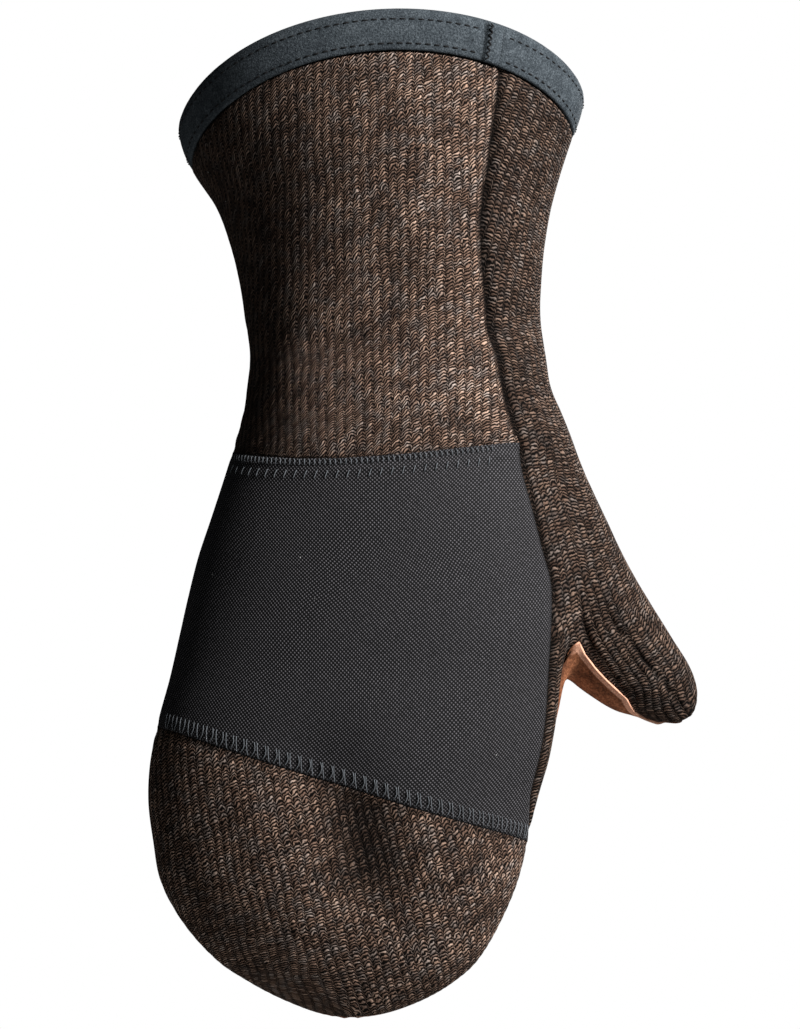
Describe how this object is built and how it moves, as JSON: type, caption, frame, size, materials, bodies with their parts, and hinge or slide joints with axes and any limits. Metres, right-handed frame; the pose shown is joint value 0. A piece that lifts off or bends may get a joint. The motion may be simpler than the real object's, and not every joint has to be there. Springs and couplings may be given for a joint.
{
  "type": "mitten",
  "caption": "Right-hand winter mitten, knitted back with a stretch knuckle panel and a leather palm, hollow and open at the cuff, in its worn shape.",
  "frame": {"origin": "centre of the cuff's rim, where the wrist goes in", "axes": "+Z out of the cuff, fingers towards -Z, back of the hand towards -Y, thumb towards +X"},
  "size_m": [0.1528, 0.0816, 0.2742],
  "materials": {
    "wool_knit": "brown heather rib knit, matt",
    "knuckle_cloth": "black fine-weave stretch cloth, matt",
    "palm_leather": "rust-brown suede with a lighter raw edge",
    "edge_binding": "blue-grey fleece tape, matt"
  },
  "bodies": {
    "root": {"cuff_binding": "edge_binding", "cuff_panel": "wool_knit", "knuckle_panel": "knuckle_cloth", "fingertip_panel": "wool_knit", "side_gusset": "wool_knit", "leather_palm": "palm_leather"}
  },
  "joints": []
}
